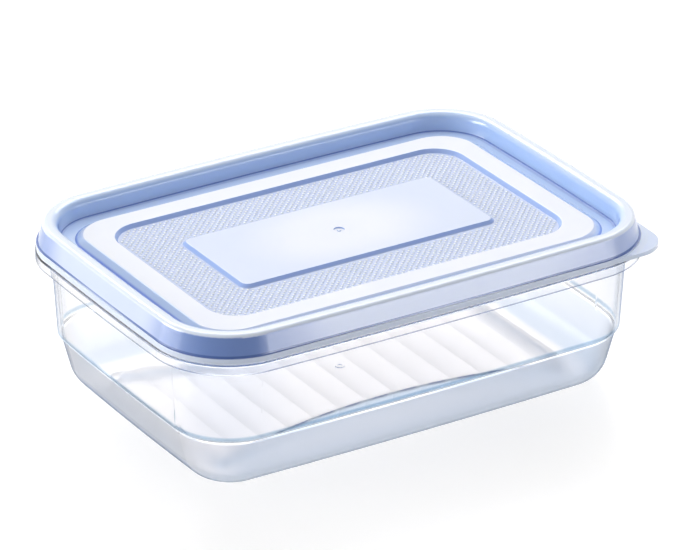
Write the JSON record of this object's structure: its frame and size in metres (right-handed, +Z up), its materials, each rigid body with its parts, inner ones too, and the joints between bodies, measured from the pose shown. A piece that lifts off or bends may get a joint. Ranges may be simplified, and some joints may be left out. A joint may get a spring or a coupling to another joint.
{
  "type": "food storage container",
  "caption": "Rectangular clear plastic food box with a stepped wall, a ribbed floor and a translucent blue push-on lid.",
  "frame": {"origin": "on the ground under the middle of the box", "axes": "+X along the long side, +Y along the short side away from the lifting tab, +Z up"},
  "size_m": [0.195, 0.137, 0.0647],
  "materials": {
    "clear_tub": "clear and glossy above the step, finely frosted below it",
    "blue_lid": "translucent, satin, dotted texture in the recess"
  },
  "bodies": {
    "root": {"tub": "clear_tub", "lid": "blue_lid"}
  },
  "joints": []
}
